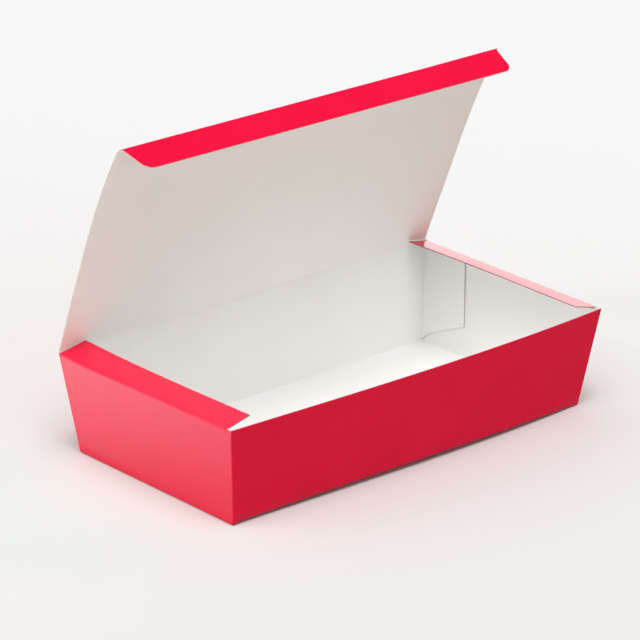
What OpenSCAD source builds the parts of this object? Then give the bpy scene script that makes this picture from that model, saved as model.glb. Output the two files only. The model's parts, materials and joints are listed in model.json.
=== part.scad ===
// Folding snack box: a flared tray with a hinged lid, cut and folded from one sheet of board.
// X runs along the long side, Y from the front to the hinge, Z up. The base stands on Z = 0.

/* [Tray] */
// Length of the tray over its top edges
top_length = 224; // [214:1:250]
// Width of the tray over its top edges, front to hinge
top_width = 117.4; // [110:0.2:140]
// Length of the base
base_length = 210; // [180:1:212]
// Width of the base
base_width = 105; // [85:1:108]
// Height of the lid hinge above the base
height = 48.6; // [35:0.2:80]
// How far the front wall bulges outward at the middle of its top edge
front_bulge = 3.4; // [0:0.1:6]
// How far the front edge lies below the lid hinge
front_edge_drop = 0.5; // [0.45:0.05:3]
// How far the dust flap folds lie below the lid hinge
dust_fold_drop = 0.8; // [0.8:0.05:2]

/* [Board] */
// Thickness of the board
board = 0.45; // [0.3:0.05:0.55]
// Radius of the crease bead along a fold
bead_radius = 0.3; // [0.3:0.05:0.35]
// Clearance between a crease bead and the panel that swings on it
fold_clearance = 0.2; // [0.15:0.05:0.4]
// Outer radius of the upright corner folds
corner_radius = 0.9; // [0.6:0.1:1.5]
// Bevel along the fold between base and walls
base_bevel = 0.3; // [0.1:0.05:0.4]

/* [Glue tabs] */
// Length of a glue tab along the end wall
tab_length = 27.5; // [10:0.5:40]
// Length of the steep cut at the foot of a tab
tab_foot_length = 4.5; // [2:0.5:8]
// Height at which the steep cut ends
tab_foot_height = 5.2; // [3:0.1:8]
// Angle of the long lower edge of a tab
tab_slope = 25; // [5:1:40]
// Gap between a tab and the base, and between a tab and the top edges
tab_edge_gap = 1; // [0.5:0.1:2]

/* [Lid] */
// Gap between the front fold of the closed lid and the inside of the front wall
lid_front_gap = 1.85; // [1.8:0.05:4]
// How much longer than the tray the lid is at each end
lid_overhang = 0.6; // [0:0.1:1]
// How far the lid arches outward from its chord
lid_arch = 2.6; // [0:0.1:5]
// Place of the highest point of the arch, as a part of the depth
lid_arch_peak = 0.58; // [0.5:0.01:0.7]
// Opening angle of the lid as it stands, counted from closed
lid_open_angle = 67.5; // [60:0.5:110]

/* [Tuck flap] */
// Depth of the tuck flap from its fold to its free edge
tuck_depth = 15; // [10:0.5:16]
// Setback of the tuck flap from each end of the lid, at its fold
tuck_end_gap = 1.6; // [1.6:0.1:5]
// Extra slant of each end over the depth of the flap
tuck_end_slant = 2.8; // [2.6:0.1:8]
// Radius of the two free corners
tuck_corner_radius = 4.5; // [1:0.1:6]
// Fold angle of the tuck flap out of the plane of the lid
tuck_fold_angle = 91.5; // [0:0.5:97.5]

/* [Dust flaps] */
// Width of a dust flap from its fold to its free edge
dust_width = 13.8; // [8:0.2:14]
// Angle of the dust flaps above level
dust_lift_angle = 13; // [-13:0.5:15]
// Clearance between the front end of a dust flap and the tuck flap of the closed lid
dust_front_gap = 0.4; // [0.35:0.05:3]
// Extra slant of the front end over the width of the flap
dust_front_slant = 0.6; // [0:0.1:3]
// Setback of a dust flap from the hinge corner, at its fold
dust_back_gap = 0.9; // [0.8:0.1:3]
// Extra slant of the hinge end over the width of the flap
dust_back_slant = 1.5; // [1.4:0.1:5]

/* [Hidden] */
$fn = 32;

print_red = [0.86, 0.08, 0.24];

// Outward run of the walls per unit of height, along X and along Y
flare_x = (top_length - base_length) / 2 / height;
flare_y = (top_width - base_width) / 2 / height;
end_tilt = atan(flare_x);
side_tilt = atan(flare_y);
// Thickness of the sloping walls measured on the level
wall_x = board / cos(end_tilt);
wall_y = board / cos(side_tilt);

// Fold lines, all on the middle of the board
hinge_y = top_width / 2 - wall_y / 2;
hinge_z = height;
dust_fold_z = height - dust_fold_drop;
dust_fold_x = half_length(dust_fold_z) - wall_x / 2;
// Depth of the lid from its hinge to the fold of the tuck flap, which closes inside the front wall
lid_depth = hinge_y + top_width / 2 - wall_y - lid_front_gap - board / 2;
tuck_fold_y = hinge_y - lid_depth;
// Distance from a fold line at which the swinging panel begins
panel_start = bead_radius + fold_clearance;

front_steps = 24;
corner_steps = 4;
lid_steps = 16;
round_steps = 8;
// Overlap that joins solids of the same sheet
weld = 0.05;

function half_length(z) = base_length / 2 + flare_x * z;
function half_width(z) = base_width / 2 + flare_y * z;

// Outward bulge of the front wall, u from -1 at the left corner to 1 at the right one
function bulge(u, z) = front_bulge * z / height * (1 - u * u);

// Heights of the top edge: front wall, end walls, hinge
front_top = height - front_edge_drop;
rims = [front_top, dust_fold_z, dust_fold_z, height, height, dust_fold_z, dust_fold_z, front_top];

// Arc of a corner fold, with the height going from z0 to z1 along it
function corner_points(sx, sy, from, z0, z1, in_x, in_y, r) =
    [for (i = [0:corner_steps])
        let (a = from + 90 * i / corner_steps, z = z0 + (z1 - z0) * i / corner_steps)
        [sx * (half_length(z) - in_x - r) + r * cos(a), sy * (half_width(z) - in_y - r) + r * sin(a), z]];

// Section of the tray moved inward by in_x and in_y, part k of the way up from height base_z to the top edges
function section(base_z, k, in_x, in_y, r) =
    let (z = [for (h = rims) base_z + (h - base_z) * k])
    concat(
        [for (i = [1:front_steps - 1])
            let (u = -1 + 2 * i / front_steps)
            [u * (half_length(z[0]) - in_x - r), -half_width(z[0]) + in_y - bulge(u, z[0]), z[0]]],
        corner_points(1, -1, -90, z[0], z[1], in_x, in_y, r),
        corner_points(1, 1, 0, z[2], z[3], in_x, in_y, r),
        corner_points(-1, 1, 90, z[4], z[5], in_x, in_y, r),
        corner_points(-1, -1, 180, z[6], z[7], in_x, in_y, r)
    );

// Solid skinned over a stack of closed sections, with a flat fan over the first and the last
module skin(sections) {
    n = len(sections[0]);
    levels = len(sections);
    last = (levels - 1) * n;
    sides = [
        for (j = [0:levels - 2], i = [0:n - 1])
            let (a = j * n + i, b = j * n + (i + 1) % n, c = b + n, d = a + n)
                each [[a, d, c], [a, c, b]]
    ];
    first_fan = [for (i = [0:n - 1]) [levels * n, i, (i + 1) % n]];
    last_fan = [for (i = [0:n - 1]) [levels * n + 1, last + (i + 1) % n, last + i]];
    polyhedron(
        points = concat([for (s = sections) each s], [[0, 0, sections[0][0][2]], [0, 0, sections[levels - 1][0][2]]]),
        faces = concat(first_fan, last_fan, sides),
        convexity = 6
    );
}

// Base and walls as one folded sheet: up the outside, over the top edge and down the inside
module folded_walls() {
    inner_radius = corner_radius - board;
    skin([
        section(0, 0, base_bevel, base_bevel, corner_radius),
        section(base_bevel, 0, 0, 0, corner_radius),
        section(base_bevel, 1, 0, 0, corner_radius),
        section(base_bevel, 1, wall_x, wall_y, inner_radius),
        section(board, 0, wall_x, wall_y, inner_radius)
    ]);
}

// One glue tab at the hinge end of the right wall, lying against the inside of the wall
module glue_tab() {
    corner = base_width / 2 - wall_y;
    run = flare_y * cos(end_tilt);
    top = (dust_fold_z - tab_edge_gap) / cos(end_tilt);
    foot = board + tab_edge_gap;
    shoulder = tab_foot_height + (tab_length - tab_foot_length) * tan(tab_slope);
    outline = [
        [-board / 2, foot],
        [tab_foot_length, tab_foot_height],
        [tab_length, min(shoulder, top - 1)],
        [tab_length, top],
        [-board / 2, top]
    ];
    translate([base_length / 2 - wall_x, 0, 0])
        rotate([0, end_tilt, 0])
            rotate([90, 0, 90])
                translate([0, 0, -board])
                    linear_extrude(board + weld)
                        polygon([for (p = outline) [corner + run * p[1] - p[0], p[1]]]);
}

module crease_bead(length) {
    rotate([90, 0, 0])
        cylinder(h = length, r = bead_radius, center = true);
}

module tray() {
    color(print_red) {
        folded_walls();
        for (end = [0, 1], side = [0, 1])
            mirror([end, 0, 0])
                mirror([0, side, 0])
                    glue_tab();
        for (end = [-1, 1])
            translate([end * dust_fold_x, 0, dust_fold_z])
                crease_bead(top_width - 4 * corner_radius);
        translate([0, hinge_y, hinge_z])
            rotate([0, 0, 90])
                crease_bead(top_length - 4 * corner_radius);
    }
}

// Height of the arch above the chord at part t of the depth
arch_power = lid_arch_peak / (1 - lid_arch_peak);
arch_scale = pow(lid_arch_peak, arch_power) * (1 - lid_arch_peak);
function arch(t) = lid_arch * pow(t, arch_power) * (1 - t) / arch_scale;

function arch_point(t, side) =
    let (
        d = 0.001,
        rise = (arch(min(t + d, 1)) - arch(max(t - d, 0))) / ((min(t + d, 1) - max(t - d, 0)) * lid_depth),
        m = sqrt(1 + rise * rise)
    )
    [-t * lid_depth + side * rise / m * board / 2, arch(t) + side / m * board / 2];

// Places a child, drawn in the closed lid with the hinge at the origin, in the open lid
module at_lid() {
    translate([0, hinge_y, hinge_z])
        rotate([-lid_open_angle, 0, 0])
            children();
}

module lid() {
    start = panel_start / lid_depth;
    steps = [for (i = [0:lid_steps]) start + (1 - start) * i / lid_steps];
    profile = concat(
        [for (t = steps) arch_point(t, 1)],
        [for (i = [lid_steps:-1:0]) arch_point(steps[i], -1)]
    );
    color(print_red)
        at_lid() {
            rotate([90, 0, 90])
                linear_extrude(top_length + 2 * lid_overhang, center = true)
                    polygon(profile);
            translate([0, -lid_depth, 0])
                rotate([0, 0, 90])
                    crease_bead(top_length + 2 * lid_overhang);
        }
}

// Right half of the tuck flap outline, from the fold to the middle of the free edge
function tuck_half() =
    let (
        half = top_length / 2 + lid_overhang - tuck_end_gap,
        lean = atan(tuck_end_slant / tuck_depth),
        r = tuck_corner_radius,
        cx = half - tuck_end_slant * (tuck_depth - r) / tuck_depth - r / cos(lean),
        cy = -tuck_depth + r
    )
    concat(
        [[half - tuck_end_slant * panel_start / tuck_depth, -panel_start]],
        [for (i = [0:round_steps]) let (a = -lean + (lean - 90) * i / round_steps) [cx + r * cos(a), cy + r * sin(a)]]
    );

module lid_tuck_flap() {
    right = tuck_half();
    n = len(right);
    left = [for (i = [n - 1:-1:0]) [-right[i][0], right[i][1]]];
    color(print_red)
        at_lid()
            translate([0, -lid_depth, 0])
                rotate([tuck_fold_angle, 0, 0])
                    linear_extrude(board, center = true)
                        polygon(concat(right, left));
}

// Dust flap of the left end, drawn level with its fold on the Y axis
module dust_flap_panel() {
    front = tuck_fold_y + board / 2 + dust_front_gap;
    back = top_width / 2 - dust_back_gap;
    linear_extrude(board, center = true)
        polygon([
            [panel_start, front],
            [dust_width, front + dust_front_slant],
            [dust_width, back - dust_back_slant],
            [panel_start, back]
        ]);
}

module left_dust_flap() {
    color(print_red)
        translate([-dust_fold_x, 0, dust_fold_z])
            rotate([0, -dust_lift_angle, 0])
                dust_flap_panel();
}

module right_dust_flap() {
    color(print_red)
        mirror([1, 0, 0])
            translate([-dust_fold_x, 0, dust_fold_z])
                rotate([0, -dust_lift_angle, 0])
                    dust_flap_panel();
}

tray();
lid();
lid_tuck_flap();
left_dust_flap();
right_dust_flap();
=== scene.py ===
"""Dresses a folding snack box: one sheet of board, red outside and white inside, with its lid open.

The board is drawn as sheets of its real thickness. Each panel is a grid of points on the middle of the
board, given a printed side, a white side and a cut edge. Each crease is a narrow curved strip between two
panels. All lengths are in metres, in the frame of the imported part: X along the long side, Y from the front
to the hinge.
"""

import json
import math
from typing import Callable, NamedTuple

import bpy
import numpy as np
from mathutils import Matrix, Vector


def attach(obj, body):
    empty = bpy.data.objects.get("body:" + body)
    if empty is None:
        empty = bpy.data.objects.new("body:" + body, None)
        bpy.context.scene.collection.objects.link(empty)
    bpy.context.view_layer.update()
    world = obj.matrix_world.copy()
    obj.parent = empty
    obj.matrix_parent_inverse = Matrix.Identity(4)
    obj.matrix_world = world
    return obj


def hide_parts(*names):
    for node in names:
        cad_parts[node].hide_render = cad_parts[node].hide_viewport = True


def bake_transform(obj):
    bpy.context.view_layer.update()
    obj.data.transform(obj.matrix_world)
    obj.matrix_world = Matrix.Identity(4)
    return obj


bl_info = {
    "name": "Folding snack box",
    "version": (1, 0, 0),
    "blender": (4, 5, 0),
    "location": "View3D > Sidebar > Snack box",
    "description": "Builds the printed sheets, creases and studio of a folding snack box",
    "category": "Object",
}

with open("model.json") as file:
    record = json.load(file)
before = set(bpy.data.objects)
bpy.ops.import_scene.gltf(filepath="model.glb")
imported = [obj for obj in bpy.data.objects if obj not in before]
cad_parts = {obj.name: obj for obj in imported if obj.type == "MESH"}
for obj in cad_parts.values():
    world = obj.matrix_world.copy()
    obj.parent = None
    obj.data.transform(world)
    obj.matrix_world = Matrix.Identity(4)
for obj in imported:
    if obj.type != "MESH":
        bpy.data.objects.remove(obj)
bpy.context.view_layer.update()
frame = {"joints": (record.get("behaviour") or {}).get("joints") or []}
JOINTS = {joint["name"]: joint for joint in frame["joints"]}
MM = 0.001
AT_THE_FOLD = 1e-9
BLEND_MARGIN = 0.2 * MM
FRAME_PIXELS = 640
SENSOR_WIDTH = 36


# Settings


def length(name, default, description):
    """A length in metres for a settings group."""
    return bpy.props.FloatProperty(
        name=name,
        description=description,
        default=default,
        unit="LENGTH",
        subtype="DISTANCE",
        precision=5,
    )


def angle(name, default, description):
    """An angle, given in degrees, for a settings group."""
    return bpy.props.FloatProperty(
        name=name, description=description, default=math.radians(default), unit="ROTATION", subtype="ANGLE"
    )


def colour(name, default, description):
    """A colour for a settings group."""
    return bpy.props.FloatVectorProperty(
        name=name, description=description, default=default, size=4, min=0, max=1, subtype="COLOR"
    )


class SNACKBOX_PG_colours(bpy.types.PropertyGroup):
    """The two shades that each face of the board is mottled between."""

    print_dark: colour("Print, darker", (0.77, 0.0018, 0.044, 1), "Darker shade of the red print")
    print_pale: colour("Print, paler", (0.80, 0.0022, 0.047, 1), "Paler shade of the red print")
    white_dark: colour("White side, darker", (0.885, 0.876, 0.867, 1), "Darker shade of the unprinted side")
    white_pale: colour("White side, paler", (0.905, 0.896, 0.887, 1), "Paler shade of the unprinted side")
    raw_dark: colour("Raw edge, darker", (0.60, 0.49, 0.46, 1), "Darker shade of a raw cut edge")
    raw_pale: colour("Raw edge, paler", (0.76, 0.68, 0.64, 1), "Paler shade of a raw cut edge")
    # The inked edge is partly ink and partly painted shade: both shades are darker than the ink alone, for
    # the shade on a thin cut edge.
    inked_and_shade_dark: colour("Inked edge, darker", (0.30, 0.09, 0.12, 1), "Darker shade of an inked cut edge")
    inked_and_shade_pale: colour("Inked edge, paler", (0.42, 0.18, 0.20, 1), "Paler shade of an inked cut edge")


class SNACKBOX_PG_board(bpy.types.PropertyGroup):
    """The board and its creases."""

    thickness: length("Thickness", 0.45 * MM, "Thickness of the board")
    crease_half: length("Crease half width", 1.0 * MM, "Distance from a fold line to where its panel begins")
    crease_hidden: length("Hidden crease", 0.6 * MM, "How far a crease strip runs on inside its panels")
    crease_cover: length("Crease cover", 0.02 * MM, "How far a crease strip stands proud of its panels")
    bead_height: length("Bead height", 0.19 * MM, "Height of the bead that scoring raises on the white side")
    bead_half: length("Bead half width", 0.75 * MM, "Half the width of that bead")
    groove_depth: length("Groove depth", 0.05 * MM, "Depth of the scored groove on the printed side")
    end_taper: length("End taper", 0.3 * MM, "Length over which the ends of a crease strip shift")
    lid_fold_radius: length("Lid fold radius", 0.9 * MM, "Radius of the fold between back wall and lid")
    tuck_fold_radius: length("Tuck fold radius", 0.45 * MM, "Radius of the fold between lid and tuck flap")
    dust_fold_radius: length("Dust fold radius", 0.55 * MM, "Radius of the folds of the dust flaps")


class SNACKBOX_PG_tray(bpy.types.PropertyGroup):
    """Base, walls and glue tabs."""

    top_length: length("Top length", 224 * MM, "Length over the top edges")
    top_width: length("Top width", 117.4 * MM, "Width over the top edges")
    base_length: length("Base length", 210 * MM, "Length of the base")
    base_width: length("Base width", 105 * MM, "Width of the base")
    height: length("Height", 48.6 * MM, "Height of the lid hinge")
    front_drop: length("Front edge drop", 0.5 * MM, "How far the front edge lies below the hinge")
    dust_drop: length("Dust fold drop", 0.8 * MM, "How far the dust flap folds lie below the hinge")
    front_bulge: length("Front bulge", 3.4 * MM, "Outward bulge of the top edge of the front wall")
    base_bulge: length("Base bulge", 3.2 * MM, "Outward bulge of the bottom edge of the front wall")
    bulge_lean: bpy.props.FloatProperty(
        name="Bulge lean", description="How far the peak of the top bulge leans to the right", default=0.35
    )
    base_lean: bpy.props.FloatProperty(
        name="Base lean", description="How far the peak of the bottom bulge leans to the right", default=0.5
    )
    front_lift: length("Front lift", 2.4 * MM, "How far the bottom edge of the front wall is off the table")
    corner_radius: length("Corner radius", 0.55 * MM, "Outer radius of the upright corner folds")
    base_radius: length("Base radius", 0.7 * MM, "Outer radius of the folds round the base")
    base_fillet: length("Base fillet", 0.45 * MM, "Inner radius of the folds round the base")
    rim_round: length("Rim rounding", 0.06 * MM, "Rounding of the cut edge along the rim")
    corner_notch: length("Corner notch", 0.35 * MM, "How far the back corner folds end below the hinge")
    tab_length: length("Tab length", 27.5 * MM, "Length of a glue tab along the end wall")
    tab_foot_length: length("Tab foot length", 4.5 * MM, "Length of the steep cut at the foot of a tab")
    tab_foot_height: length("Tab foot height", 5.2 * MM, "Height at which the steep cut ends")
    tab_slope: angle("Tab slope", 23, "Angle of the long lower edge of a tab")
    tab_lift: length("Tab lift", 0.28 * MM, "How far the free edge of a tab stands off the wall")
    tab_slant: length("Tab slant", 1.1 * MM, "How much further the free edge reaches at its foot")
    warp_front_left: length("Warp front left", 0.0, "Rise of that top corner, as the box has settled")
    warp_front_right: length("Warp front right", 0.0, "Rise of that top corner")
    warp_back_left: length("Warp back left", -1.1 * MM, "Rise of that top corner")
    warp_back_right: length("Warp back right", 0.3 * MM, "Rise of that top corner")
    corner_rise: length("Corner rise", 0.8 * MM, "Further rise of the back left corner, close to its fold")


class SNACKBOX_PG_flaps(bpy.types.PropertyGroup):
    """Lid, tuck flap and dust flaps."""

    lid_overhang: length("Lid overhang", 0.6 * MM, "How much longer than the tray the lid is at each end")
    lid_waist_left: length("Left waist", 0.9 * MM, "How far the lid's left side draws in near the hinge")
    lid_waist_right: length("Right waist", 1.7 * MM, "How far the lid's right side draws in near the hinge")
    lid_skew: length("Lid skew", 0.35 * MM, "How far the front edge of the lid stands to the left")
    lid_arch: length("Lid arch", 2.6 * MM, "Height of the arch of the lid above its chord")
    lid_arch_lean: length("Arch lean", 0.3 * MM, "How much higher the arch is at the left edge")
    lid_arch_peak: bpy.props.FloatProperty(
        name="Arch peak", description="Place of the highest point, as a part of the depth", default=0.58
    )
    tuck_depth: length("Tuck depth", 15 * MM, "Depth of the tuck flap")
    tuck_angle: angle("Tuck angle", 91.5, "Fold of the tuck flap out of the plane of the lid")
    tuck_gap: length("Tuck end gap", 1.6 * MM, "Setback of the tuck flap from each end of the lid")
    tuck_slant: length("Tuck slant", 2.8 * MM, "Slant of each end over the depth")
    tuck_shear: length("Tuck shear", 0.6 * MM, "How far the free edge is shifted to the right")
    tuck_radius: length("Tuck corner radius", 4.5 * MM, "Radius of the two free corners")
    dust_width: length("Dust flap width", 13.8 * MM, "Width of a dust flap from its fold to its free edge")
    dust_angle_left: angle("Left dust angle", 12, "Angle of the left dust flap above level")
    dust_angle_right: angle("Right dust angle", 13.8, "Angle of the right dust flap above level")
    dust_front: length("Dust front", -55.55 * MM, "Place of the front end of a dust flap at its fold")
    dust_front_slant: length("Dust front slant", 0.6 * MM, "Slant of the front end over the width")
    dust_back: length("Dust back", 57.8 * MM, "Place of the hinge end of a dust flap at its fold")
    dust_back_slant: length("Dust back slant", 1.5 * MM, "Slant of the hinge end over the width")
    dust_curl: length("Dust curl", 0.3 * MM, "Rise of the hinge end of the left dust flap at its free edge")
    dust_sag: length("Dust sag", 0.7 * MM, "How far the left dust flap's free edge sags between its ends")
    dust_bow: length("Dust bow", 0.42 * MM, "How far the right dust flap's free edge bows up midway")


class SNACKBOX_PG_studio(bpy.types.PropertyGroup):
    """Camera and floor."""

    azimuth: angle("Azimuth", -42.148, "Direction of the camera round the box, 0 being straight in front")
    elevation: angle("Elevation", 21.415, "Height of the camera above the horizon")
    roll: angle("Roll", 0.808, "Roll of the camera")
    distance: length("Distance", 1.82, "Distance of the camera from the middle of the box")
    lens: bpy.props.FloatProperty(name="Lens", description="Focal length in millimetres", default=227.27)
    target_x: bpy.props.FloatProperty(
        name="Target across", description="Pixel across, where the middle is seen", default=334.4
    )
    target_y: bpy.props.FloatProperty(
        name="Target down", description="Pixel down, where the middle is seen", default=336.37
    )
    target_height: length("Target height", 45 * MM, "Height of the point that the camera is set by")
    floor_size: length("Floor size", 9.0, "Side of the floor")
    floor_drop: length("Floor drop", 0.02 * MM, "How far the floor lies below the underside of the box")
    # The floor is darker in front partly as painted shade.
    floor_front: colour("Floor in front", (0.670, 0.658, 0.645, 1), "Colour of the floor near the camera")
    floor_back: colour("Floor behind", (0.712, 0.716, 0.724, 1), "Colour of the floor beyond the box")


# Node maths


class Socket:
    """Wraps a node socket, so that shader maths reads as arithmetic."""

    def __init__(self, tree, socket):
        self.tree = tree
        self.socket = socket

    def _put(self, node, index, value):
        target = node.inputs[index]
        if isinstance(value, Socket):
            self.tree.links.new(value.socket, target)
        else:
            target.default_value = value

    def _math(self, operation, *values):
        node = self.tree.nodes.new("ShaderNodeMath")
        node.operation = operation
        for index, value in enumerate(values):
            self._put(node, index, value)
        return Socket(self.tree, node.outputs[0])

    def __add__(self, other):
        return self._math("ADD", self, other)

    __radd__ = __add__

    def __mul__(self, other):
        return self._math("MULTIPLY", self, other)

    __rmul__ = __mul__

    def __sub__(self, other):
        return self._math("SUBTRACT", self, other)

    def __rsub__(self, other):
        return self._math("SUBTRACT", other, self)

    def exp(self):
        """e to the power of this."""
        return self._math("EXPONENT", self)

    def step(self, low, high):
        """0 below low, 1 above high and smooth in between."""
        node = self.tree.nodes.new("ShaderNodeMapRange")
        node.interpolation_type = "SMOOTHSTEP"
        self._put(node, 0, self)
        node.inputs[1].default_value = low
        node.inputs[2].default_value = high
        return Socket(self.tree, node.outputs[0])

    def mix(self, low, high):
        """Colour low where this is 0 and high where it is 1."""
        node = self.tree.nodes.new("ShaderNodeMix")
        node.data_type = "RGBA"
        self._put(node, 0, self)
        self._put(node, 6, low)
        self._put(node, 7, high)
        return Socket(self.tree, node.outputs[2])


class Shader:
    """The node tree of a material or of the world."""

    def __init__(self, tree):
        self.tree = tree
        tree.nodes.clear()

    def node(self, kind, settings=None, inputs=None):
        """Adds a node of this type, sets it up and returns it."""
        made = self.tree.nodes.new(kind)
        for key, value in (settings or {}).items():
            setattr(made, key, value)
        for key, value in (inputs or {}).items():
            if isinstance(value, Socket):
                self.tree.links.new(value.socket, made.inputs[key])
            else:
                made.inputs[key].default_value = value
        return made

    def out(self, node, name=0):
        """An output of a node as a Socket."""
        return Socket(self.tree, node.outputs[name])

    def coordinates(self):
        """Object coordinates, as a Socket."""
        return self.out(self.node("ShaderNodeTexCoord"), "Object")

    def noise(self, vector, scale, detail=2.0, roughness=0.5):
        """Fractal noise about 0.5."""
        settings = {"Vector": vector, "Scale": scale, "Detail": detail, "Roughness": roughness}
        return self.out(self.node("ShaderNodeTexNoise", inputs=settings))

    def bump(self, height, strength, distance):
        """Normal of a surface with this height."""
        settings = {"Strength": strength, "Distance": distance, "Height": height}
        return self.out(self.node("ShaderNodeBump", inputs=settings))

    def mixed(self, factor, first, second):
        """The first shader where the factor is 0 and the second where it is 1."""
        return self.out(self.node("ShaderNodeMixShader", inputs={0: factor, 1: first, 2: second}))

    def skin(self, **inputs):
        """Ends the tree in a Principled surface. Underscores in names stand for spaces."""
        named = {name.replace("_", " "): value for name, value in inputs.items()}
        made = self.node("ShaderNodeBsdfPrincipled", inputs=named)
        self.node("ShaderNodeOutputMaterial", inputs={0: self.out(made)})


def material(name):
    """A new material with an empty node tree, and its Shader."""
    made = bpy.data.materials.new(name)
    made.use_nodes = True
    return made, Shader(made.node_tree)


def printed_material(name, colours):
    """Red print under a thin satin varnish, with the faint tooth of the board in it."""
    made, sh = material(name)
    place = sh.coordinates()
    tooth = sh.noise(place, 520)
    cloud = sh.noise(place, 60)
    sh.skin(
        Base_Color=cloud.step(0.3, 0.7).mix(colours.print_dark, colours.print_pale),
        Roughness=cloud * 0.04 + 0.20,
        IOR=1.45,
        Normal=sh.bump(tooth, 0.05, 0.05 * MM),
    )
    return made


def inside_material(name, colours):
    """Unprinted white face of the board: matt, faintly mottled, with a fine tooth."""
    made, sh = material(name)
    place = sh.coordinates()
    tooth = sh.noise(place, 450, roughness=0.6)
    cloud = sh.noise(place, 35, detail=3)
    sh.skin(
        Base_Color=cloud.step(0.25, 0.75).mix(colours.white_dark, colours.white_pale),
        Roughness=0.55,
        IOR=1.35,
        Normal=sh.bump(tooth, 0.12, 0.08 * MM),
    )
    return made


def edge_material(name, fineness, detail, dark, pale):
    """A cut edge of the board: matt and fibrous, mottled between two shades."""
    made, sh = material(name)
    fibre = sh.noise(sh.coordinates(), fineness, detail)
    sh.skin(Base_Color=fibre.step(0.3, 0.7).mix(dark, pale), Roughness=0.9, IOR=1.2)
    return made


def raw_material(name, colours):
    """Raw cut edge of the board, pale."""
    return edge_material(name, 2200, 3, colours.raw_dark, colours.raw_pale)


def inked_and_shaded_edge_material(name, colours):
    """Cut edge with the ink of the printed side drawn over it by the die, and darker still as painted shade.
    """
    return edge_material(name, 1500, 2, colours.inked_and_shade_dark, colours.inked_and_shade_pale)


def board_materials():
    """The faces of the board, in the order of the mesh slots: printed, white, raw edge and inked edge with
    painted shade.
    """
    makers = {
        "red_print": printed_material,
        "white_board": inside_material,
        "cut_edge": raw_material,
        "inked_and_shaded_edge": inked_and_shaded_edge_material,
    }
    colours = bpy.context.scene.snackbox_colours
    return [bpy.data.materials.get(name) or maker(name, colours) for name, maker in makers.items()]


# Surfaces


def unit(v):
    """Vectors scaled to length 1."""
    return v / np.linalg.norm(v, axis=-1, keepdims=True)


def smooth(t):
    """0 below 0, 1 above 1, smooth in between."""
    t = np.clip(t, 0, 1)
    return t * t * (3 - 2 * t)


def ramp(value, start, end):
    """0 before start, 1 after end, smooth in between."""
    return smooth((value - start) / (end - start))


def grid_normals(points):
    """Unit normals of a grid, pointing along the cross product of its second and first directions."""
    along = np.gradient(points, axis=1)
    across = np.gradient(points, axis=0)
    return unit(np.cross(along, across))


def quads(ids, closed=False):
    """Faces between the rows and columns of an array of vertex numbers."""
    if closed:
        ids = np.concatenate([ids, ids[:, :1]], axis=1)
    return np.stack([ids[:-1, :-1], ids[:-1, 1:], ids[1:, 1:], ids[1:, :-1]], axis=-1).reshape(-1, 4)


def board_object(name, points, faces, slots, sharp=35):
    """A mesh object at the origin from points, faces and the material slot of each face."""
    mesh = bpy.data.meshes.new(name)
    mesh.from_pydata(points.tolist(), [], [face for part in faces for face in part.tolist()])
    for made in board_materials():
        mesh.materials.append(made)
    mesh.polygons.foreach_set("material_index", np.concatenate(slots).astype(np.int32))
    mesh.polygons.foreach_set("use_smooth", np.ones(len(mesh.polygons), dtype=bool))
    mesh.set_sharp_from_angle(angle=math.radians(sharp))
    mesh.validate()
    mesh.update()
    made = bpy.data.objects.new(name, mesh)
    bpy.context.scene.collection.objects.link(made)
    return made


def sheet(name, centre, normal, out, inner, skins=(0, 1, 2)):
    """Closed sheet of board round a grid of points on its middle.

    The printed side is each point plus out times its normal, and the white side is the point minus inner
    times its normal. A strip of cut edge runs round the border from one to the other. skins gives the
    material slots of these three.
    """
    rows, columns = centre.shape[:2]
    out = np.broadcast_to(np.asarray(out, float), (rows, columns))[..., None]
    inner = np.broadcast_to(np.asarray(inner, float), (rows, columns))[..., None]
    printed, white = centre + normal * out, centre - normal * inner
    points = np.concatenate([printed.reshape(-1, 3), white.reshape(-1, 3)])
    top = np.arange(rows * columns).reshape(rows, columns)
    turned = np.sum(np.cross(centre[0, 1] - centre[0, 0], centre[1, 0] - centre[0, 0]) * normal[0, 0]) < 0
    if turned:
        top = top[:, ::-1]
    low = top + rows * columns
    ring = np.concatenate([top[0], top[1:, -1], top[-1, -2::-1], top[-2:0:-1, 0]])
    after = np.roll(ring, -1)
    edge = np.stack([after, ring, ring + rows * columns, after + rows * columns], axis=-1)
    faces = [quads(top), quads(low)[:, ::-1], edge]
    slots = [np.full(len(part), skin) for skin, part in zip(skins, faces)]
    return board_object(name, points, faces, slots)


def finish_piece(piece, *nodes):
    """Hides the CAD nodes that a piece stands for, if any, and returns the piece."""
    if nodes:
        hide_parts(*nodes)
    return piece


# The box


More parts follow.
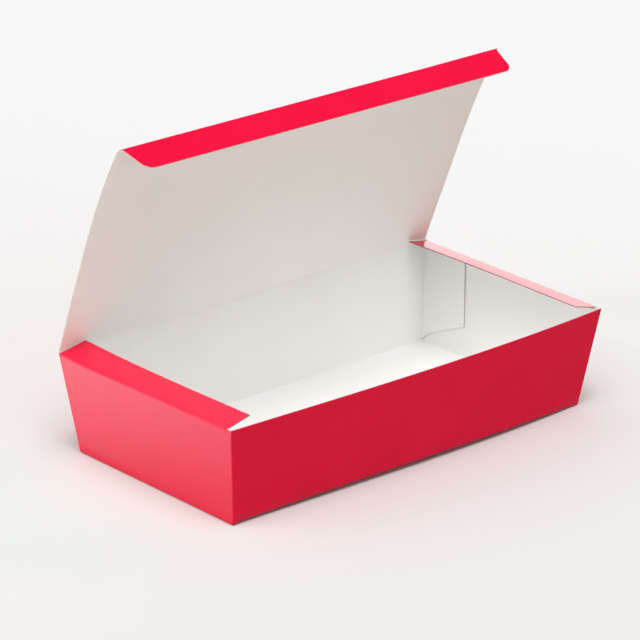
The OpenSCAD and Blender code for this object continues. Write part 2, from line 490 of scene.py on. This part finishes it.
class Form:
    """Fold lines and directions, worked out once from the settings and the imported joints."""

    def __init__(self, scene):
        self.board = scene.snackbox_board
        self.tray = scene.snackbox_tray
        self.flaps = scene.snackbox_flaps
        tray = self.tray
        self.half = self.board.thickness / 2
        # Slopes of the end walls and long walls, then their thickness measured level
        self.flare_x = (tray.top_length - tray.base_length) / 2 / tray.height
        self.flare_y = (tray.top_width - tray.base_width) / 2 / tray.height
        self.wall_x = self.board.thickness * math.hypot(1, self.flare_x)
        self.wall_y = self.board.thickness * math.hypot(1, self.flare_y)
        self.hinge = np.array(JOINTS["lid_hinge"]["pos_m"])
        self.tuck_fold = np.array(JOINTS["tuck_flap_hinge"]["pos_m"])
        reach = self.tuck_fold - self.hinge
        self.lid_depth = float(np.linalg.norm(reach))
        self.lid_along = reach / self.lid_depth
        self.lid_angle = math.atan2(self.lid_along[2], -self.lid_along[1])
        self.lid_out = np.array([0, math.sin(self.lid_angle), math.cos(self.lid_angle)])
        self.tuck_along, self.tuck_out = self.turned(self.lid_angle - self.flaps.tuck_angle)
        self.back_up = unit(np.array([0, self.flare_y, 1.0]))

    def turned(self, lid_angle):
        """Direction along a panel that leans like a lid opened by that angle, and its printed normal."""
        return (
            np.array([0, -math.cos(lid_angle), math.sin(lid_angle)]),
            np.array([0, math.sin(lid_angle), math.cos(lid_angle)]),
        )

    def half_length(self, z):
        """Half the length of the tray at height z, which grows evenly up the flared end walls."""
        return self.tray.base_length / 2 + self.flare_x * z

    def half_width(self, z):
        """Half the width of the tray at height z, without the bulge of the front wall."""
        return self.tray.base_width / 2 + self.flare_y * z

    def bulge(self, u, z):
        """Outward bulge of the front wall: one leaning parabola along the top edge, another at the bottom."""
        tray, k = self.tray, z / self.tray.height
        top = tray.front_bulge * (1 + tray.bulge_lean * u)
        bottom = tray.base_bulge * (1 + tray.base_lean * u)
        return (top * k + bottom * (1 - k)) * (1 - u * u)

    def lift(self, points):
        """Lift of the base along the front edge, gone a third of the way back and at the top of the wall.

        Along the edge it is a slightly leaning parabola, which drops to nothing right at the corners.
        """
        corner_power, lean, hollow = 60, 0.07, 0.61
        u = np.clip(points[..., 0] / (self.tray.base_length / 2), -1, 1)
        along = (1 - np.abs(u) ** corner_power) * (1 - lean * u - hollow * u * u)
        front = ramp(-points[..., 1] / (self.tray.base_width / 2), 0.375, 1)
        up = (1 - np.clip(points[..., 2] / self.tray.height, 0, 1)) ** 2
        return self.tray.front_lift * along * front * up

    def warp(self, x, y, z):
        """Rise of the settled box: none at the base, growing up the walls to that of the four top corners.

        Between the corners it is bilinear, with a further rise close to the back left corner.
        """
        tray = self.tray
        u, v = x / (tray.top_length / 2), y / (tray.top_width / 2)
        left = tray.warp_front_left * (1 - v) / 2 + tray.warp_back_left * (1 + v) / 2
        right = tray.warp_front_right * (1 - v) / 2 + tray.warp_back_right * (1 + v) / 2
        corner = tray.corner_rise * ramp(v, 0.72, 1) * ramp(-u, 0.86, 0.98)
        return (left * (1 - u) / 2 + right * (1 + u) / 2 + corner) * np.clip(z / tray.height, 0, 1)

    def lid_ends(self, t):
        """Ends of the lid at part t of its depth: drawn in near the hinge, longer than the tray beyond it.

        Each waist is left behind, and the skew taken up, smoothly over its own part of the depth.
        """
        flaps = self.flaps
        over_left, over_right, over_skew = (0.35, 0.8045), (0, 0.4545), (0.7, 1.003)
        half = self.tray.top_length / 2 + flaps.lid_overhang
        waist_left = flaps.lid_waist_left * (1 - ramp(t, *over_left))
        waist_right = flaps.lid_waist_right * (1 - ramp(t, *over_right))
        left = half - waist_left + flaps.lid_skew * ramp(t, *over_skew)
        right = half - waist_right - flaps.lid_skew
        return -left, right

    def arch(self, t, u):
        """Arch of the lid at part t of its depth and u across: a power curve through 0 at both folds."""
        peak = self.flaps.lid_arch_peak
        power = peak / (1 - peak)
        high = peak**power * (1 - peak)
        top = self.flaps.lid_arch - self.flaps.lid_arch_lean * u
        return top * t**power * (1 - t) / high

    def lid_front(self):
        """Direction in which the lid runs into the tuck fold, at the end of its arch."""
        step = 0.005
        slope = (self.arch(1.0, 0) - self.arch(1.0 - step, 0)) / (step * self.lid_depth)
        return unit(self.lid_along + self.lid_out * slope)

    def dust_fold(self, side):
        """Place of a dust flap's fold, the sign of its end of the box, and the flap's angle above level."""
        fold = np.array(JOINTS[f"{side}_dust_flap_hinge"]["pos_m"])
        if side == "left":
            return fold, -1, self.flaps.dust_angle_left
        return fold, 1, self.flaps.dust_angle_right


class Ring:
    """Points round the tray at one level, corner folds included, counted from the front left corner."""

    def __init__(self, form, front=97, end=49, corner=6):
        self.form = form
        self.sides = {"front": self.spread(front), "end": self.spread(end)}
        self.turn = np.linspace(0, math.pi / 2, corner + 1)

    def spread(self, count):
        """Even places from -1 to 1 along a wall, without the ends but with a place right next to each."""
        inner, last = np.linspace(-1, 1, count)[1:-1], 0.9996
        return np.concatenate([[-last], inner, [last]])

    def heights(self, front, end, back, front_corner, back_corner):
        """A height for each point: one for each wall and one for each corner fold."""
        n_front, n_end, n_turn = len(self.sides["front"]), len(self.sides["end"]), len(self.turn)
        parts = [
            (front, n_front),
            (front_corner, n_turn),
            (end, n_end),
            (back_corner, n_turn),
            (back, n_front),
            (back_corner, n_turn),
            (end, n_end),
            (front_corner, n_turn),
        ]
        return np.concatenate([np.full(n, high) for high, n in parts])

    def points(self, z, inset_x, inset_y, radius):
        """The ring at heights z, moved inward by the insets, with that corner radius."""
        form, front, end = self.form, self.sides["front"], self.sides["end"]
        split = np.cumsum([len(front), len(self.turn), len(end), len(self.turn)] * 2)[:-1]
        z_parts = np.split(z, split)
        made = []
        for side, part in enumerate(z_parts):
            wall, quarter = side % 2 == 0, side // 2
            across = form.half_length(part) - inset_x
            deep = form.half_width(part) - inset_y
            if wall and quarter == 0:
                xy = (front * (across - radius), -deep - form.bulge(front, part))
            elif wall and quarter == 1:
                xy = (across, end * (deep - radius))
            elif wall and quarter == 2:
                xy = (-front * (across - radius), deep)
            elif wall:
                xy = (-across, -end * (deep - radius))
            else:
                sx = (1, 1, -1, -1)[quarter]
                sy = (-1, 1, 1, -1)[quarter]
                turn = self.turn + math.radians(90) * (quarter - 1)
                centre = (sx * (across - radius), sy * (deep - radius))
                xy = (centre[0] + radius * np.cos(turn), centre[1] + radius * np.sin(turn))
            made.append(np.stack(np.broadcast_arrays(*xy, part), axis=-1))
        return np.concatenate(made)


def build_tray(form):
    """Base and walls: rings from the middle of the underside, out and up the walls, over the rim and back.

    Every ring has the same number of points. The folds at the base are quarter circles, the walls flare
    evenly, the front wall bulges, and the front of the base is lifted a little off the table.
    """
    tray, board = form.tray, form.board
    ring = Ring(form)
    thick = board.thickness
    rim = ring.heights(
        tray.height - tray.front_drop,
        tray.height - tray.dust_drop - board.crease_half,
        tray.height - board.crease_half,
        tray.height - tray.front_drop,
        tray.height - tray.corner_notch,
    )
    level = np.zeros_like(rim)
    edge, base, fillet = tray.rim_round, tray.base_radius, tray.base_fillet
    inner_radius = tray.corner_radius - thick
    half_length, half_width = tray.base_length / 2, tray.base_width / 2
    middle = 1.5 * MM
    spread = (0.25, 0.5, 0.75, 0.93, 0.985)
    quarter = np.linspace(0, math.pi / 2, 6)
    climb = np.linspace(0, 1, 15)[1:]
    rows = []
    for part in spread:
        inset_x, inset_y = ((half - base) * (1 - part) + base for half in (half_length, half_width))
        rows.append(ring.points(level, inset_x, inset_y, tray.corner_radius * part))
    for a in quarter[::-1]:
        inset = base * (1 - math.cos(a))
        rows.append(ring.points(level + base * (1 - math.sin(a)), inset, inset, tray.corner_radius))
    for k in climb:
        rows.append(ring.points(base + (rim - edge - base) * k, 0, 0, tray.corner_radius))
    rows.append(ring.points(rim, edge, edge, tray.corner_radius))
    printed = len(rows) - 1
    rows.append(ring.points(rim, form.wall_x - edge, form.wall_y - edge, inner_radius))
    raw = len(rows) - 1
    start = thick + fillet
    for k in np.concatenate([climb[::-1], [0.0]]):
        rows.append(ring.points(start + (rim - edge - start) * k, form.wall_x, form.wall_y, inner_radius))
    for a in quarter[1:]:
        inset = fillet * (1 - math.cos(a))
        z = level + thick + fillet * (1 - math.sin(a))
        rows.append(ring.points(z, form.wall_x + inset, form.wall_y + inset, inner_radius))
    for part in spread[::-1]:
        inset_x = form.wall_x + fillet + (half_length - middle) * (1 - part)
        inset_y = form.wall_y + fillet + (half_width - middle) * (1 - part)
        rows.append(ring.points(level + thick, inset_x, inset_y, inner_radius * part))
    stack = np.stack(rows)
    count = stack.shape[1]
    points = np.concatenate([stack.reshape(-1, 3), [[0, 0, 0], [0, 0, thick]]])
    points[:, 2] += form.lift(points) + form.warp(*points.T)
    ids = np.arange(len(rows) * count).reshape(len(rows), count)
    walls = quads(ids, closed=True)
    row_of = np.repeat(np.arange(len(rows) - 1), count)
    # The rows over the rim take the inked edge, which carries painted shade.
    slot_of = np.where(row_of < printed, 0, np.where(row_of < raw, 3, 1))
    after = np.roll(ids, -1, axis=1)
    bottom = np.stack([np.full(count, len(points) - 2), after[0], ids[0]], axis=-1)
    floor = np.stack([np.full(count, len(points) - 1), ids[-1], after[-1]], axis=-1)
    faces = [walls, bottom, floor]
    slots = [slot_of, np.zeros(count), np.ones(count)]
    return board_object("tray_walls", points, faces, slots)


def build_glue_tab(form, name, sx, sy):
    """One corner tab, glued flat to the inside of an end wall.

    Columns run from the corner fold to the free edge; each goes from the slanted foot of the tab up to just
    under the rim. The tab lies on the wall, with a small bead at the fold and a slightly lifted free edge.
    """
    tray = form.tray
    into_fold, past_bead, next_column = 0.25 * MM, 1.6 * MM, 1.8 * MM
    foot, below_rim, off_wall = 1.1 * MM, 1.1 * MM, 0.01 * MM
    bead_height, bead_place, bead_spread = 0.12 * MM, 0.75 * MM, 0.3 * MM
    along = np.concatenate([
        np.linspace(-into_fold, past_bead, 15),
        np.linspace(next_column, tray.tab_foot_length, 7),
        np.linspace(tray.tab_foot_length, tray.tab_length, 30)[1:],
    ])
    low = np.where(
        along < tray.tab_foot_length,
        foot + (tray.tab_foot_height - foot) * np.clip(along, 0, None) / tray.tab_foot_length,
        tray.tab_foot_height + (along - tray.tab_foot_length) * math.tan(tray.tab_slope),
    )
    high = tray.height - tray.dust_drop - below_rim
    k = np.linspace(0, 1, 24)[:, None]
    z = low + (high - low) * k
    tilt = math.atan(form.flare_x)
    bead = bead_height * np.exp(-(((along - bead_place) / bead_spread) ** 2))
    free = ramp(along / tray.tab_length, 0.7, 1)
    foot_off = smooth(1 - along / tray.tab_foot_length) * smooth(1 - k * 3)
    off = form.half + off_wall + bead + tray.tab_lift * np.maximum(free, foot_off)
    x = form.half_length(z) - form.wall_x - off / math.cos(tilt)
    y = form.half_width(z) - form.wall_y - along * (1 + tray.tab_slant / tray.tab_length * (1 - k))
    centre = np.stack([sx * x, sy * y, z], axis=-1)
    centre[..., 2] += form.warp(*np.moveaxis(centre, -1, 0))
    outward = np.array([sx * math.cos(tilt), 0, -math.sin(tilt)])
    normal = np.broadcast_to(outward, centre.shape)
    return sheet(name, centre, normal, form.half, form.half, skins=(1, 1, 2))


def build_lid(form):
    """Lid panel from the hinge crease to the tuck flap crease, arched outward as the board springs.

    A point is the hinge, plus its part of the way to the tuck fold, plus the arch there along the lid's
    normal, and lies at its part of the way from one end of the lid to the other.
    """
    u = np.linspace(-1, 1, 81)[None, :]
    start = form.board.crease_half / form.lid_depth
    t = np.linspace(start, 1 - start, 61)[:, None]
    left, right = form.lid_ends(t)
    rise = form.arch(t, u)
    centre = (
        form.hinge
        + form.lid_along * (t * form.lid_depth)[..., None]
        + form.lid_out * rise[..., None]
        + np.array([1.0, 0, 0]) * ((left + right) / 2 + (right - left) / 2 * u)[..., None]
    )
    centre[..., 2] += form.warp(centre[..., 0], form.hinge[1], form.hinge[2]) * (1 - t)
    normal = grid_normals(centre)
    normal *= np.sign(np.sum(normal * form.lid_out, axis=-1, keepdims=True))
    return sheet("lid_panel", centre, normal, form.half, form.half)


def tuck_half_width(form, s):
    """Half the length of the tuck flap at depth s: a straight slant, then a quarter round at its corner."""
    flaps = form.flaps
    root = form.tray.top_length / 2 + flaps.lid_overhang - flaps.tuck_gap
    radius = flaps.tuck_radius
    slant = flaps.tuck_slant / flaps.tuck_depth
    into = np.clip(s - (flaps.tuck_depth - radius), 0, radius)
    return root - slant * s - (radius - np.sqrt(np.clip(radius**2 - into**2, 0, None)))


def build_tuck_flap(form):
    """Tuck flap panel: rows parallel to the fold, each as long as the slanted and rounded outline allows.

    The rows shift to the right with the square of their distance from the fold.
    """
    flaps = form.flaps
    bend = np.sin(np.linspace(0, math.pi / 2, 25))
    straight = flaps.tuck_depth - flaps.tuck_radius
    s = np.concatenate([
        np.linspace(form.board.crease_half, straight, 16)[:-1],
        straight + flaps.tuck_radius * bend,
    ])[:, None]
    u = np.linspace(-1, 1, 101)[None, :]
    x = tuck_half_width(form, s) * u + flaps.tuck_shear * (s / flaps.tuck_depth) ** 2
    centre = form.tuck_fold + form.tuck_along * (s + 0 * u)[..., None] + np.array([1.0, 0, 0]) * x[..., None]
    normal = np.broadcast_to(form.tuck_out, centre.shape)
    return sheet("tuck_flap_panel", centre, normal, form.half, form.half)


def dust_span(form, s):
    """Front and hinge ends of a dust flap at distance s from its fold."""
    flaps = form.flaps
    t = np.clip(s / flaps.dust_width, 0, 1)
    front = flaps.dust_front + flaps.dust_front_slant * t
    back = flaps.dust_back - flaps.dust_back_slant * t
    return front, back


def build_dust_flap(form, side):
    """Dust flap panel at one end, leaning up from its fold.

    The free edge of the left flap sags between its ends, by half a sine wave that is deeper towards the
    hinge, and curls up at the hinge. That of the right flap bows up a little instead of sagging.
    """
    flaps = form.flaps
    fold, sx, lean = form.dust_fold(side)
    along = np.array([-sx * math.cos(lean), 0, math.sin(lean)])
    up = np.array([sx * math.sin(lean), 0, math.cos(lean)])
    s = np.linspace(form.board.crease_half, flaps.dust_width, 15)[:, None]
    outward = s / flaps.dust_width
    front, back = dust_span(form, s)
    v = np.linspace(0, 1, 61)[None, :]
    y = front + (back - front) * v
    deepest = flaps.dust_sag if side == "left" else -flaps.dust_bow
    sag = deepest * outward**2 * np.sin(math.pi * v) * (0.7 + 0.6 * v)
    centre = (
        fold
        + along * (s + 0 * v)[..., None]
        + np.array([0, 1.0, 0]) * y[..., None]
        - up * sag[..., None]
    )
    centre[..., 2] += form.warp(fold[0], y, fold[2]) * (1 - outward)
    if side == "left":
        centre[..., 2] += flaps.dust_curl * ramp(v, 0.76, 1) * outward
    normal = grid_normals(centre)
    normal *= np.sign(np.sum(normal * up, axis=-1, keepdims=True))
    # The cut edges of the dust flaps take the inked edge, which carries painted shade.
    return sheet(f"{side}_dust_flap_panel", centre, normal, form.half, form.half, skins=(0, 1, 3))


class Crease(NamedTuple):
    """One fold: its panels, its line, the directions of the panels, and the ends of its strip.

    before and after are the unit directions towards and away from the fold, and across is the unit direction
    along it. ends gives the two ends of the strip at distance s from the fold. The warp of the box dies away
    over the length decay beyond the fold.
    """

    name: str
    fixed: str
    moving: str
    fold: np.ndarray
    before: np.ndarray
    after: np.ndarray
    across: np.ndarray
    radius: float
    ends: Callable
    decay: float


def lid_crease_ends(form, s):
    """From the ends of the back wall to those of the lid, smoothly over the visible strip."""
    half = form.tray.top_length / 2 - form.tray.corner_radius
    part = ramp(s, -form.board.crease_half, form.board.crease_half)
    left, right = form.lid_ends(0.01)
    return -half + (left + half) * part, half + (right - half) * part


def tuck_crease_ends(form, s):
    """From the ends of the lid to those of the tuck flap, right behind the fold."""
    part = np.clip(s / form.board.end_taper, 0, 1)
    root = tuck_half_width(form, np.clip(s, 0, None))
    left, right = form.lid_ends(1.0)
    return left + (-root - left) * part, right + (root - right) * part


def dust_crease_ends(form, s):
    """From the ends of the end wall to those of the dust flap, right behind the fold."""
    part = np.clip(s / form.board.end_taper, 0, 1)
    half = form.tray.top_width / 2 - form.tray.corner_radius
    front, back = dust_span(form, np.clip(s, 0, None))
    return -half + (front + half) * part, half + (back - half) * part


def box_creases(form):
    """The four creases whose panels turn: of the lid, the tuck flap and the two dust flaps."""
    board, x_axis, y_axis = form.board, np.array([1.0, 0, 0]), np.array([0, 1.0, 0])
    yield Crease(
        name="lid_crease",
        fixed="tray",
        moving="lid",
        fold=form.hinge,
        before=form.back_up,
        after=form.lid_along,
        across=x_axis,
        radius=board.lid_fold_radius,
        ends=lid_crease_ends,
        decay=form.lid_depth,
    )
    yield Crease(
        name="tuck_flap_crease",
        fixed="lid",
        moving="lid_tuck_flap",
        fold=form.tuck_fold,
        before=form.lid_front(),
        after=form.tuck_along,
        across=x_axis,
        radius=board.tuck_fold_radius,
        ends=tuck_crease_ends,
        decay=AT_THE_FOLD,
    )
    for side in ("left", "right"):
        fold, sx, lean = form.dust_fold(side)
        yield Crease(
            name=f"{side}_dust_crease",
            fixed="tray",
            moving=f"{side}_dust_flap",
            fold=fold,
            before=unit(np.array([sx * form.flare_x, 0, 1.0])),
            after=np.array([-sx * math.cos(lean), 0, math.sin(lean)]),
            across=y_axis,
            radius=board.dust_fold_radius,
            ends=dust_crease_ends,
            decay=form.flaps.dust_width,
        )


def build_crease(form, crease):
    """Crease strip: straight along one panel, round a small arc at the fold and straight along the next.

    A low double bead runs along the white side, lower the tighter the fold is, and a shallow groove along the
    printed side, each a bell curve of the distance from the fold. Past the panels' edges the strip thins and
    runs on inside them.
    """
    board = form.board
    turn = math.acos(float(np.clip(crease.before @ crease.after, -1, 1)))
    arc = crease.radius * turn / 2
    half, reach = board.crease_half, board.crease_half + board.crease_hidden
    step_in, rounding = 0.1 * MM, 1e-9
    s = np.concatenate([
        np.linspace(-reach, -half - step_in, 3),
        np.linspace(-half, half, 31),
        np.linspace(half + step_in, reach, 3),
    ])
    inward = unit(crease.after - crease.before)
    onward = unit(crease.after + crease.before)
    middle = crease.fold + inward * crease.radius / math.cos(turn / 2)
    phi = np.clip(s, -arc, arc) / crease.radius
    spoke = -np.cos(phi)[:, None] * inward + np.sin(phi)[:, None] * onward
    tangent = np.sin(phi)[:, None] * inward + np.cos(phi)[:, None] * onward
    line = middle + crease.radius * spoke + tangent * (s - np.clip(s, -arc, arc))[:, None]
    u = np.linspace(0, 1, 61)[None, :]
    low, high = crease.ends(form, s[:, None])
    centre = line[:, None, :] + crease.across * (low + (high - low) * u)[..., None]
    settled = form.warp(centre[..., 0], centre[..., 1], np.minimum(centre[..., 2], crease.fold[2]))
    centre[..., 2] += settled * np.clip(1 - s[:, None] / crease.decay, 0, 1)
    normal = np.broadcast_to(spoke[:, None, :], centre.shape)
    shown = np.abs(s) <= half + rounding
    cover = np.where(shown, board.crease_cover, -3 * board.crease_cover)
    groove = board.groove_depth * np.exp(-((s / (0.5 * board.bead_half)) ** 2))
    bead = board.bead_height * min(1.0, crease.radius / board.lid_fold_radius)
    ridges = np.exp(-(((np.abs(s) - 0.35 * board.bead_half) / (0.4 * board.bead_half)) ** 2))
    out = form.half + cover - groove
    inner = form.half + cover + bead * ridges
    return sheet(crease.name, centre, normal, out[:, None], inner[:, None])


# Operators


class SNACKBOX_OT_tray(bpy.types.Operator):
    """Builds the base, the four walls and the four glue tabs"""

    bl_idname = "snackbox.tray"
    bl_label = "Build tray"

    def execute(self, context):
        form = Form(context.scene)
        walls = finish_piece(build_tray(form), "tray")
        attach(walls, "tray")
        for sx, end in ((-1, "left"), (1, "right")):
            for sy, side in ((-1, "front"), (1, "back")):
                tab = finish_piece(build_glue_tab(form, f"glue_tab_{side}_{end}", sx, sy))
                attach(tab, "tray")
        return {"FINISHED"}


class SNACKBOX_OT_lid(bpy.types.Operator):
    """Builds the lid and its tuck flap"""

    bl_idname = "snackbox.lid"
    bl_label = "Build lid"

    def execute(self, context):
        form = Form(context.scene)
        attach(finish_piece(build_lid(form), "lid"), "lid")
        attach(finish_piece(build_tuck_flap(form), "lid_tuck_flap"), "lid_tuck_flap")
        return {"FINISHED"}


class SNACKBOX_OT_dust_flaps(bpy.types.Operator):
    """Builds the dust flaps at both ends"""

    bl_idname = "snackbox.dust_flaps"
    bl_label = "Build dust flaps"

    def execute(self, context):
        form = Form(context.scene)
        for side in ("left", "right"):
            node = f"{side}_dust_flap"
            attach(finish_piece(build_dust_flap(form, side), node), node)
        return {"FINISHED"}


class SNACKBOX_OT_creases(bpy.types.Operator):
    """Builds the crease strips of the lid, the tuck flap and the dust flaps"""

    bl_idname = "snackbox.creases"
    bl_label = "Build creases"

    def execute(self, context):
        form = Form(context.scene)
        turn_length = form.board.crease_half + BLEND_MARGIN
        for crease in box_creases(form):
            piece = finish_piece(build_crease(form, crease))
            start = crease.fold - crease.before * turn_length
            end = crease.fold + crease.after * turn_length
            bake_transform(piece)
        return {"FINISHED"}


# Studio


def towards(azimuth, elevation):
    """Unit direction from the box at these angles, an azimuth of 0 being straight in front."""
    return (
        math.sin(azimuth) * math.cos(elevation),
        -math.cos(azimuth) * math.cos(elevation),
        math.sin(elevation),
    )


def floor_material(studio):
    """Pale floor, a little darker in front, with two round patches at the ends of the box.

    The darker front is partly painted shade, as the floor beyond the box is lit more from behind. The patches
    are painted light: the cooler one at the left end paints out the red that the print throws on the floor,
    and the paler one at the right end paints light into the box's shadow, where the shade is deepest. Glossy
    rays see the floor as a studio would show in the varnish: dim in front of the box, bright behind its left
    end and white further off.
    """
    made, sh = material("studio_floor")
    place = sh.node("ShaderNodeSeparateXYZ", inputs={0: sh.coordinates()})
    x, y = sh.out(place, 0), sh.out(place, 1)
    path = sh.node("ShaderNodeLightPath")

    def patch(spot_x, spot_y, inner, outer):
        """1 where the squared distance from the spot is below inner, and 0 where it is above outer."""
        across, deep = x - spot_x, y - spot_y
        return 1.0 - (across * across + deep * deep).step(inner, outer)

    # Darker in front and paler beyond: partly painted shade, for the light that falls on the floor from
    # behind.
    beyond = (x * 0.67 + y * 0.74).step(-0.5, 0.6)
    colour = beyond.mix(studio.floor_front, studio.floor_back)
    # Painted light: the cooler patch paints out the red that the print throws on the floor, and the paler
    # patch paints light into the shadow beside the right end.
    cooler, paler = (0.632, 0.668, 0.656, 1), (0.760, 0.755, 0.750, 1)
    colour = patch(-0.15, 0.01, 0.001, 0.008).mix(colour, cooler)
    colour = patch(0.15, -0.02, 0.001, 0.006).mix(colour, paler)
    to_box = (0.54, 0.50, 0.46, 1)
    seen = sh.out(path, "Is Camera Ray").mix(to_box, colour)
    matt = sh.out(sh.node("ShaderNodeBsdfDiffuse", inputs={"Color": seen}))
    # The glow that glossy rays see is a painted reflection with no lamp behind it. It is weaker close to the
    # left wall, as painted shade where the box shades the floor.
    leftward = x * -1.0
    left = leftward.step(0.105, 0.112)
    front = (y * -1.0).step(0.045, 0.06) * (1.0 - left)
    off_wall = leftward.step(0.105, 0.155)
    near = 1.0 - leftward.step(0.17, 0.32)
    far = (x * x + y * y).step(0.06, 0.36)
    behind_left = left * near * (0.22 + off_wall * 0.87 + y.step(-0.04, 0.12) * 0.9)
    glow = 0.5 - front * 0.38 + behind_left + far * (0.5 + x.step(0.1, 0.5) * 0.4)
    shine = sh.out(sh.node("ShaderNodeEmission", inputs={"Color": (1, 1, 1, 1), "Strength": glow}))
    shown = sh.mixed(sh.out(path, "Is Glossy Ray"), matt, shine)
    sh.node("ShaderNodeOutputMaterial", inputs={0: shown})
    return made


def studio_world():
    """Light on the box, and the plain pale backdrop that the camera sees in its place.

    The light is a cool softbox high at the front left, a warm fill low in front, fills at the left and
    behind, and a little even light. Each is a round lobe: e to the power of its tightness times the cosine
    of the angle from its middle less 1.
    """
    world = bpy.data.worlds.new("studio")
    world.use_nodes = True
    sh = Shader(world.node_tree)
    direction = sh.out(sh.node("ShaderNodeTexCoord"), "Generated")

    def lobe(azimuth, elevation, tightness, strength):
        """A round light in that direction, in degrees."""
        middle = towards(math.radians(azimuth), math.radians(elevation))
        facing = sh.node("ShaderNodeVectorMath", {"operation": "DOT_PRODUCT"}, {0: direction, 1: middle})
        return ((sh.out(facing, "Value") - 1.0) * tightness).exp() * strength

    def glow(tint, strength):
        """A Background of this colour and strength."""
        return sh.out(sh.node("ShaderNodeBackground", inputs={"Color": tint, "Strength": strength}))

    def both(first, second):
        """Two lights together."""
        return sh.out(sh.node("ShaderNodeAddShader", inputs={0: first, 1: second}))

    softbox = glow((0.985, 0.995, 1.0, 1), lobe(-30, 69, 20, 9.1))
    warm = glow((1.0, 0.915, 0.82, 1), lobe(0, 13, 17, 2.1))
    around = lobe(-112, 18, 6, 3.0) + lobe(134, 4, 40, 2.2) + lobe(162, 12, 9, 1.4) + 0.07
    lit = both(both(softbox, warm), glow((1.0, 0.98, 0.955, 1), around))
    backdrop = glow((1, 1, 1, 1), 0.93)
    path = sh.out(sh.node("ShaderNodeLightPath"), "Is Camera Ray")
    sh.node("ShaderNodeOutputWorld", inputs={0: sh.mixed(path, lit, backdrop)})
    return world


def build_floor(studio):
    """Square floor just below the box."""
    side = studio.floor_size / 2
    corners = [(x * side, y * side, -studio.floor_drop) for x, y in ((-1, -1), (1, -1), (1, 1), (-1, 1))]
    mesh = bpy.data.meshes.new("floor")
    mesh.from_pydata(corners, [], [(0, 1, 2, 3)])
    mesh.materials.append(floor_material(studio))
    floor = bpy.data.objects.new("floor", mesh)
    bpy.context.scene.collection.objects.link(floor)
    return floor


def build_camera(studio):
    """Camera at its distance in the set direction, shifted so that the target is seen at the target pixel.

    At that distance a pixel is as wide as the distance over the focal length counted in pixels.
    """
    data = bpy.data.cameras.new("camera")
    data.sensor_fit = "HORIZONTAL"
    data.sensor_width = SENSOR_WIDTH
    data.lens = studio.lens
    data.clip_start, data.clip_end = 0.05, 30
    camera = bpy.data.objects.new("camera", data)
    back = Vector(towards(studio.azimuth, studio.elevation))
    level = (-back).cross(Vector((0, 0, 1))).normalized()
    upright = level.cross(-back)
    cos, sin = math.cos(studio.roll), math.sin(studio.roll)
    right, up = level * cos + upright * sin, upright * cos - level * sin
    pixel = studio.distance / (studio.lens / SENSOR_WIDTH * FRAME_PIXELS)
    spot = (
        Vector((0, 0, studio.target_height))
        + back * studio.distance
        - right * (studio.target_x - FRAME_PIXELS / 2) * pixel
        + up * (studio.target_y - FRAME_PIXELS / 2) * pixel
    )
    turn = Matrix((right, up, back)).transposed().to_4x4()
    camera.matrix_world = Matrix.Translation(spot) @ turn
    bpy.context.scene.collection.objects.link(camera)
    return camera


class SNACKBOX_OT_stage(bpy.types.Operator):
    """Builds the floor, the light and the camera"""

    bl_idname = "snackbox.stage"
    bl_label = "Build studio"

    def execute(self, context):
        scene = context.scene
        floor = build_floor(scene.snackbox_studio)
        scene.world = studio_world()
        scene.camera = build_camera(scene.snackbox_studio)
        scene.view_settings.view_transform = "Standard"
        return {"FINISHED"}


class SNACKBOX_PT_panel(bpy.types.Panel):
    """Sidebar panel with the settings and the build buttons"""

    bl_label = "Snack box"
    bl_idname = "SNACKBOX_PT_panel"
    bl_space_type = "VIEW_3D"
    bl_region_type = "UI"
    bl_category = "Snack box"

    def draw(self, context):
        scene = context.scene
        for title, group in (
            ("Colours", scene.snackbox_colours),
            ("Board", scene.snackbox_board),
            ("Tray", scene.snackbox_tray),
            ("Flaps", scene.snackbox_flaps),
            ("Studio", scene.snackbox_studio),
        ):
            box = self.layout.box()
            box.label(text=title)
            for name in group.__annotations__:
                box.prop(group, name)
        for operator in OPERATORS:
            self.layout.operator(operator.bl_idname)


OPERATORS = (
    SNACKBOX_OT_tray,
    SNACKBOX_OT_lid,
    SNACKBOX_OT_dust_flaps,
    SNACKBOX_OT_creases,
    SNACKBOX_OT_stage,
)
GROUPS = {
    "snackbox_colours": SNACKBOX_PG_colours,
    "snackbox_board": SNACKBOX_PG_board,
    "snackbox_tray": SNACKBOX_PG_tray,
    "snackbox_flaps": SNACKBOX_PG_flaps,
    "snackbox_studio": SNACKBOX_PG_studio,
}


def register():
    """Adds the settings, operators and panel to Blender."""
    for group in GROUPS.values():
        bpy.utils.register_class(group)
    for name, group in GROUPS.items():
        setattr(bpy.types.Scene, name, bpy.props.PointerProperty(type=group))
    for operator in OPERATORS:
        bpy.utils.register_class(operator)
    bpy.utils.register_class(SNACKBOX_PT_panel)


def unregister():
    """Takes them out again, last first."""
    bpy.utils.unregister_class(SNACKBOX_PT_panel)
    for operator in reversed(OPERATORS):
        bpy.utils.unregister_class(operator)
    for name, group in GROUPS.items():
        delattr(bpy.types.Scene, name)
        bpy.utils.unregister_class(group)


def main():
    """Builds every piece and the stage."""
    register()
    bpy.ops.snackbox.tray()
    bpy.ops.snackbox.lid()
    bpy.ops.snackbox.dust_flaps()
    bpy.ops.snackbox.creases()
    bpy.ops.snackbox.stage()


if __name__ == "__main__":
    main()
